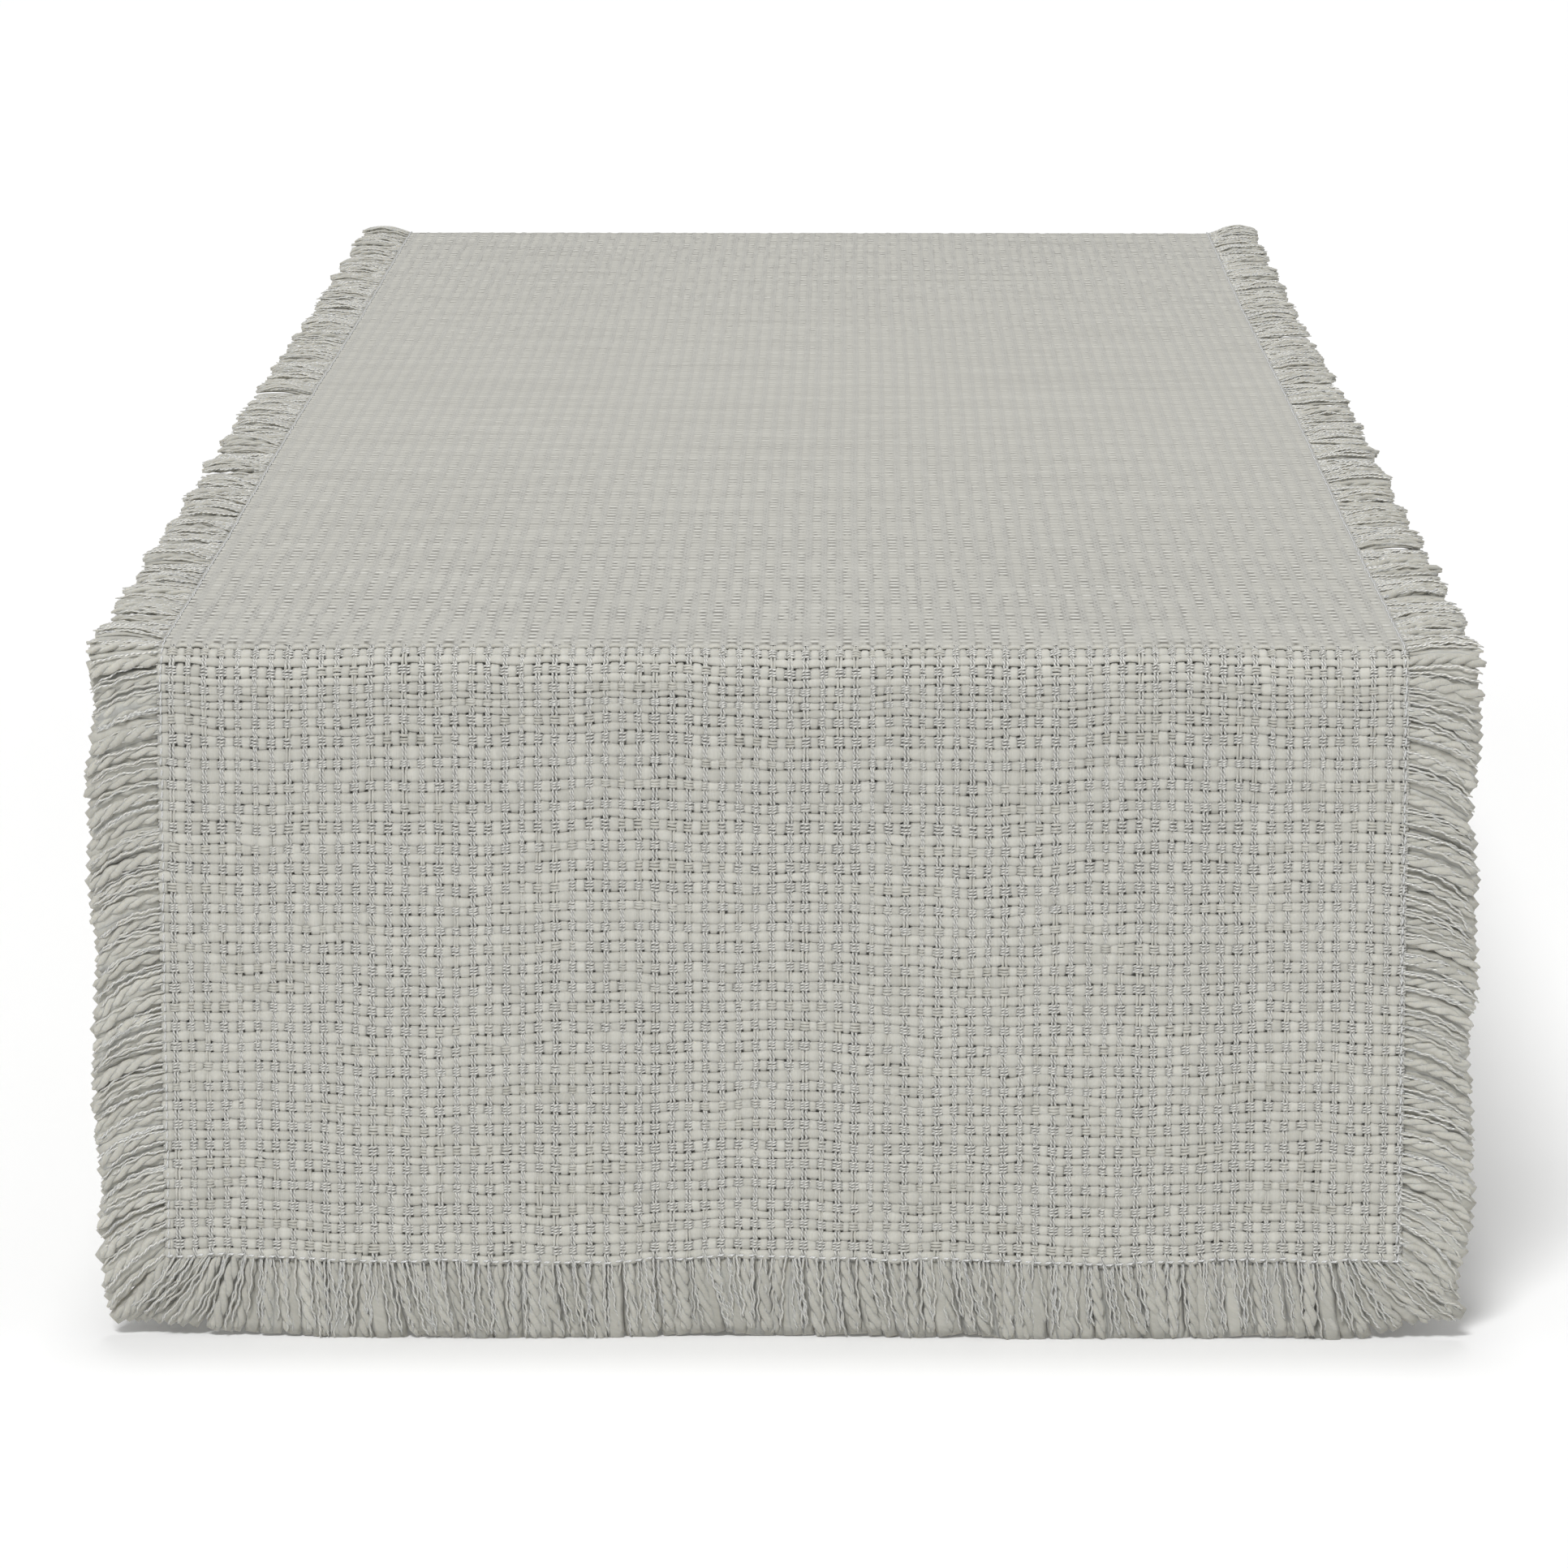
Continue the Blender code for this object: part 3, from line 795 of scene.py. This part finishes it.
def under_strands(name, strands, rings, finish, rng):
    """Flatter single ends that lie behind the others and close the gaps between them. Their tone is
    set darker on average, a painted shade.
    """
    paths = strand_paths(strands, rings)
    count = len(paths)
    t = np.linspace(0, 1, rings)[None]
    run, side, _ = frames(paths, strands["up"])
    wide = (1.5 + 0.8 * smooth(t, 0.0, 0.4)) * MM * (1 + 0.08 * wander(run, 0.01, rng, count))
    wide = wide * np.where(t >= 1, 0.75, 1.0)
    # Darker tone on average: painted shade for ends that lie behind.
    tone = rng.normal(-0.5, 0.4, (count, 1)) + 0 * run
    return tubes(name, paths, wide, 0.26 * wide, side, 6, tone, 0.0, finish)


def silver_strands(name, strands, rings, finish, rng):
    """Fine silvery ends that keep the crimp of the weave as small waves, and wander over the cotton
    ones."""
    paths = strand_paths(strands, rings)
    count = len(paths)
    t = np.linspace(0, 1, rings)[None]
    run, side, above = frames(paths, strands["up"])
    wavelength = rng.uniform(4.2, 6.0, (count, 1)) * MM
    crimp = np.sin(2 * math.pi * run / wavelength + rng.uniform(0, 6, (count, 1)))
    crimp = 0.24 * crimp * smooth(t, 0.05, 0.3) + 0.42 * t * wander(run, 0.016, rng, count)
    paths = paths + crimp[..., None] * MM * side
    paths = paths + (0.25 * MM * smooth(t, 0.0, 0.2) * wander(run, 0.009, rng, count))[..., None] * above
    radius = np.where(t >= 1, 0.4, 1.0) * rng.uniform(0.28, 0.38, (count, 1)) * MM
    tone = rng.normal(0, 0.5, (count, 1)) + 0 * run
    silver = np.clip(rng.normal(0.85, 0.3, (count, 1)), 0, 1) + 0 * run
    return tubes(name, paths, radius, radius, side, 4, tone, silver, finish)


def side_layer(side, along, height, bunching, rng):
    """Roots and ways of weft ends past one long edge. On the table they lie out sideways. Below the
    bend they droop, and more so near the hem, where they fan round the corner. Neighbours lean together
    in bunches, by sums of sines along the edge times bunching, and more on the table than on the drops.
    There the edge also rises and falls in waves, and the ends at the far bend stand up a little."""
    sign = float(SIDES[side])
    count = len(along)
    end = np.where(along < 0, -1.0, 1.0)
    reach = np.abs(along)
    hang = smooth(reach, FLAT - 8 * MM, FLAT + ARC + 26 * MM)
    bend = smooth(reach, FLAT - 45 * MM, FLAT)
    corner = smooth(reach, HEM - 30 * MM, HEM)
    far_end = smooth(along, 0.90 * FLAT, FLAT) * (1 - hang)
    phase = BUNCH_PHASE[side]
    lean = 0.8 * np.sin(along * 157 + phase) + 0.35 * np.sin(along * 263 + 2 * phase)
    lean = lean + 0.6 * np.sin(along * 61 + phase)
    lean = lean * bunching * (2.2 - 1.2 * hang)
    edge = sign * HALF_WIDTH
    here, ahead = lay(edge, along, 0.0), lay(edge, along + end * MM, 0.0)
    turn = 0.02 + 0.04 * lean + rng.normal(0, 0.03, count) + hang * 0.14 + corner * 0.42
    end_turn = 0.05 + 0.08 * lean + rng.normal(0, 0.06, count)
    end_turn = end_turn + bend * 0.16 + hang * 0.58 + corner * 0.24
    wave = 0.16 * np.sin(along * 139 + phase) + 0.10 * np.sin(along * 347 + 3 * phase)
    lift = (1 - hang) * (0.10 + wave + 0.24 * far_end) + rng.normal(0, 0.03, count)
    scallop = 0.045 * np.sin(along * 101 + phase) + 0.03 * np.sin(along * 211 + 2 * phase)
    length = SIDE_REACH * (1.055 - 0.025 * hang + scallop + rng.normal(0, 0.018, count))
    return {
        "root": lay(edge - sign * ROOT_INSET, along, height),
        "out": np.tile([sign, 0.0, 0.0], (count, 1)),
        "fall": unit(ahead - here),
        "up": outward(edge, along),
        "turn": turn,
        "end_turn": end_turn,
        "lift": lift,
        "length": length * (1 + 0.10 * hang + 0.08 * corner),
    }


def side_fringe(name, side, picks, rings, sides, finish, rng):
    """The weft ends past one long edge: thick cotton, more cotton behind it, and fine silvery ends on
    top."""
    cotton = picks[picks % 2 == 0]
    silver = np.repeat(picks[picks % 2 == 1], SILVER_PER_WEFT)
    lane = rng.uniform(-0.9, 0.9, len(silver))
    front = side_layer(side, weft_place(cotton), rng.uniform(-0.3, 0.3, len(cotton)) * MM, 1.0, rng)
    between = cotton[0] + np.arange(2 * len(cotton)) + 0.5
    behind = side_layer(side, weft_place(between), rng.uniform(-0.8, -0.4, len(between)) * MM, 0.4, rng)
    behind["length"] = behind["length"] * 0.97
    over = side_layer(side, weft_place(silver + lane), rng.uniform(0.2, 0.9, len(silver)) * MM, 1.1, rng)
    over["lift"] = over["lift"] + rng.uniform(0.0, 0.07, len(silver))
    over["length"] = over["length"] * rng.uniform(0.86, 1.02, len(silver))
    return [
        cotton_strands(f"{name}_cotton", front, rings, sides, finish, rng),
        under_strands(f"{name}_behind", behind, 8, finish, rng),
        silver_strands(f"{name}_silver", over, rings, finish, rng),
    ]


def hem_layer(end, across, height, rng):
    """Roots and ways of warp ends below one hem. They lean to one side in bunches, by a sum of sines
    along the hem, and fan out at both corners, where they are a little longer."""
    sign = ENDS[end]
    count = len(across)
    along = sign * (HEM - ROOT_INSET) + 0 * across
    lean = 0.8 * np.sin(across * 173 + sign) + 0.6 * np.sin(across * 97 + 2 * sign)
    lean = lean + 0.5 * np.sin(across * 301)
    fan = smooth(across, HALF_WIDTH - FAN_REACH["right"], HALF_WIDTH)
    fan = fan - smooth(-across, HALF_WIDTH - FAN_REACH["left"], HALF_WIDTH)
    inner = 1 - np.abs(fan)
    turn = 0.05 * inner + 0.07 * lean + rng.normal(0, 0.04, count) + 0.66 * fan
    end_turn = 0.16 * inner + 0.10 * lean + rng.normal(0, 0.09, count) + 0.98 * fan
    scallop = 0.025 * np.sin(across * 112 + 1.1) + 0.012 * np.sin(across * 251)
    length = HEM_REACH * (1.035 + scallop + rng.normal(0, 0.012, count)) * (1 + 0.12 * np.abs(fan))
    return {
        "root": lay(across, along, height),
        "out": np.tile([0.0, 0.0, -1.0], (count, 1)),
        "fall": np.tile([1.0, 0.0, 0.0], (count, 1)),
        "up": outward(across, along),
        "turn": turn,
        "end_turn": end_turn,
        "lift": rng.normal(0.02, 0.05, count),
        "length": length,
    }


def hem_fringe(end, finish, rng):
    """The warp ends below one hem, in the same three layers as the side fringe. The layer behind
    reaches down past the cotton ends, by a length that waves a little, so that no gap shows below
    them."""
    cotton = np.arange(0, WARPS, 2)
    silver = np.repeat(cotton + 1, SILVER_PER_WARP + 2)
    lane = rng.uniform(-0.9, 0.9, len(silver))
    front = hem_layer(end, warp_place(cotton), rng.uniform(-0.3, 0.3, len(cotton)) * MM, rng)
    warps = np.arange(WARPS)
    behind = hem_layer(end, warp_place(warps), rng.uniform(-0.8, -0.4, WARPS) * MM, rng)
    corner = smooth(np.abs(warp_place(warps)), HALF_WIDTH - FAN_REACH["left"], HALF_WIDTH)
    down = HEM_REACH + (1.50 + 0.45 * np.sin(0.37 * warps)) * MM
    behind["length"] = np.maximum(behind["length"], down * (1 + 0.04 * corner))
    over = hem_layer(end, warp_place(silver + lane), rng.uniform(0.2, 0.9, len(silver)) * MM, rng)
    over["lift"] = over["lift"] + rng.uniform(0.0, 0.08, len(silver))
    over["turn"] = over["turn"] + rng.normal(0, 0.08, len(silver))
    over["length"] = over["length"] * rng.uniform(0.78, 1.02, len(silver))
    return [
        cotton_strands(f"{end}_hem_fringe_cotton", front, 18, 6, finish, rng),
        under_strands(f"{end}_hem_fringe_behind", behind, 8, finish, rng),
        silver_strands(f"{end}_hem_fringe_silver", over, 20, finish, rng),
    ]


def stitches(name, across, along, run_way, finish, rng):
    """A row of lock stitches. Each is a short bridge of thread: it comes up, runs on for most of a
    stitch length and goes down again, by the cosine of its length, and is thinner at both ends."""
    count = len(across)
    t = np.linspace(-0.5, 0.5, 6)[None]
    arch = np.cos(math.pi * t)
    long = 0.92 * PITCH
    skew = rng.normal(0, 0.10, (count, 1)) * MM
    height = (0.55 + 0.72 * arch) * MM + rng.normal(0, 0.05, (count, 1)) * MM
    sideways = skew + 0.25 * MM * t
    a = across[:, None] + run_way[0] * t * long + run_way[1] * sideways
    b = along[:, None] + run_way[1] * t * long + run_way[0] * sideways
    paths = lay(a, b, height)
    radius = THREAD_RADIUS * (0.6 + 0.4 * arch) + 0 * height
    flat_way = unit(np.cross(outward(a, b), unit(np.gradient(paths, axis=1))))
    tone = rng.normal(0, 0.5, (count, 1)) + 0 * height
    return tubes(name, paths, radius, radius * 0.8, flat_way, 5, tone, 1.0, finish)


def side_stitches(name, side, picks, finish, rng):
    """One stitch for each weft along a long edge."""
    across = SIDES[side] * (HALF_WIDTH - STITCH_INSET) + np.zeros(len(picks))
    return stitches(name, across, weft_place(picks), (0, 1), finish, rng)


def hem_stitches(end, finish, rng):
    """Even stitches along a hem."""
    count = int(2 * HALF_WIDTH / PITCH)
    across = (np.arange(count) + 0.5) / count * 2 * HALF_WIDTH - HALF_WIDTH
    along = ENDS[end] * (HEM - STITCH_INSET) + np.zeros(count)
    return stitches(f"{end}_hem_stitches", across, along, (1, 0), finish, rng)


# ---- studio ----


def studio():
    """A pale floor just under the hem strands, an even white room, a broad soft key light, a weaker one
    from above and the camera."""
    scene = bpy.context.scene
    scene.view_settings.view_transform = "Standard"
    world = bpy.data.worlds.new("white_room")
    world.use_nodes = True
    world.node_tree.nodes["Background"].inputs["Color"].default_value = (1.0, 1.0, 1.0, 1)
    world.node_tree.nodes["Background"].inputs["Strength"].default_value = ROOM_LIGHT
    scene.world = world

    bpy.ops.mesh.primitive_plane_add(size=30, location=(0, 6, HEM_FRINGE_LOW.z - FLOOR_BELOW))
    floor = bpy.context.object
    floor.name = "floor"
    floor.data.materials.append(plain_finish("pale_floor", FLOOR_COLOUR, 0.9))

    for name, (power, spread, tilt, turn) in SUNS.items():
        light = bpy.data.lights.new(name, "SUN")
        light.energy = power
        light.angle = math.radians(spread)
        lamp = bpy.data.objects.new(name, light)
        lamp.rotation_euler = (math.radians(tilt), 0, math.radians(turn))
        scene.collection.objects.link(lamp)

    camera = bpy.data.cameras.new("camera")
    camera.sensor_width = FILM_WIDTH
    camera.lens = LENS
    camera.clip_end = 100
    eye = bpy.data.objects.new("camera", camera)
    eye.location = CAMERA_PLACE
    eye.rotation_euler = (math.radians(90 - CAMERA_PITCH), 0, math.radians(CAMERA_YAW))
    scene.collection.objects.link(eye)
    scene.camera = eye


# ---- building ----


def drop_blend(piece):
    """Bakes the piece's transform into its mesh."""
    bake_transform(piece)


def fringe_blend(piece):
    """Bakes the piece's transform into its mesh."""
    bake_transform(piece)


def make_cloth(sheets, weave, face, on_cloth, rng):
    """The front end yarn by yarn, and the back end and the top as one woven sheet each. on_cloth lists
    by half what goes with each backing sheet."""
    front = woven_end("front", weave, rng)
    for piece in front:
        drop_blend(piece)
        on_cloth["front"].append(piece)
    back_face = woven_sheet("back_woven_face", *end_wefts("back"), face)
    drop_blend(back_face)
    on_cloth["back"].append(back_face)
    top = woven_sheet("top_woven_face", SPLIT_PICK - 0.5, WEFTS - SPLIT_PICK - 0.5, face)
    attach(top, "top")
    on_cloth["front"].append(top)
    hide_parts("top_cloth")
    for end, piece in (("front", front[0]), ("back", back_face)):
        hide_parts(f"{end}_bend_cloth")
    for end, piece in (("front", front[2]), ("back", sheets["back"])):
        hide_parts(f"{end}_drop_cloth")


def make_side(side, hanging, loose, thread, on_cloth, rng):
    """Fringe and stitches of one long edge: along the top, then down both ends."""
    picks = np.arange(WEFTS)
    top_picks = picks[SPLIT_PICK : WEFTS - SPLIT_PICK]
    # loose is the darker copy of the fringe yarn, painted shade.
    strands = side_fringe(f"{side}_top_fringe", side, top_picks, 12, 5, loose, rng)
    for piece in strands:
        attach(piece, "top")
        on_cloth["front"].append(piece)
    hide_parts(f"{side}_top_fringe")
    line = side_stitches(f"{side}_top_stitches", side, top_picks, thread, rng)
    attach(line, "top")
    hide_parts(f"{side}_top_stitch")
    on_cloth["front"].append(line)
    for end, sign in ENDS.items():
        near = picks[:SPLIT_PICK] if sign < 0 else picks[WEFTS - SPLIT_PICK :]
        strands = side_fringe(f"{side}_{end}_fringe", side, near, 17, 6, hanging, rng)
        for piece in strands:
            drop_blend(piece)
            on_cloth[end].append(piece)
        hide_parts(f"{side}_{end}_drop_fringe")
        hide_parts(f"{side}_{end}_bend_fringe")
        line = side_stitches(f"{side}_{end}_stitches", side, near, thread, rng)
        drop_blend(line)
        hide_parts(f"{side}_{end}_drop_stitch", f"{side}_{end}_bend_stitch")
        on_cloth[end].append(line)


def make_hem(end, loose, thread, on_cloth, rng):
    """Fringe and stitches of one hem."""
    # loose is the darker copy of the fringe yarn, painted shade.
    strands = hem_fringe(end, loose, rng)
    for piece in strands:
        fringe_blend(piece)
        on_cloth[end].append(piece)
    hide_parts(f"{end}_hem_fringe")
    line = hem_stitches(end, thread, rng)
    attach(line, f"{end}_drop")
    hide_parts(f"{end}_hem_stitch")
    on_cloth[end].append(line)


def build():
    rng = np.random.default_rng(5)
    weave = yarn_finish("woven_yarn", 14.0, 1.3, glow=0.10, share=0.925, depth=0.12)
    hanging = yarn_finish("fringe_yarn_ends", 9.0, 1.5, glow=0.26, share=0.97, depth=0.35)
    # A darker copy of the fringe yarn, painted shade, for the top side fringes and the hem fringes.
    loose = yarn_finish("fringe_yarn_ends_painted_shade", 9.0, 1.5, glow=0.34, share=0.88, depth=0.35)
    face = woven_finish("woven_face", 0.55)
    inside = woven_finish("cloth_inside", 1.0)
    thread = thread_finish()

    on_cloth = {"front": [], "back": []}
    sheets = {end: backing(end, inside) for end in ENDS}
    make_cloth(sheets, weave, face, on_cloth, rng)
    for side in SIDES:
        make_side(side, hanging, loose, thread, on_cloth, rng)
    for end in ENDS:
        make_hem(end, loose, thread, on_cloth, rng)

    for end, sheet in sheets.items():
        drop_blend(sheet)
    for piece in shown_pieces():
        if "stitch" in piece.name:
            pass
        elif "fringe" in piece.name:
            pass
        else:
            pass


build()
studio()
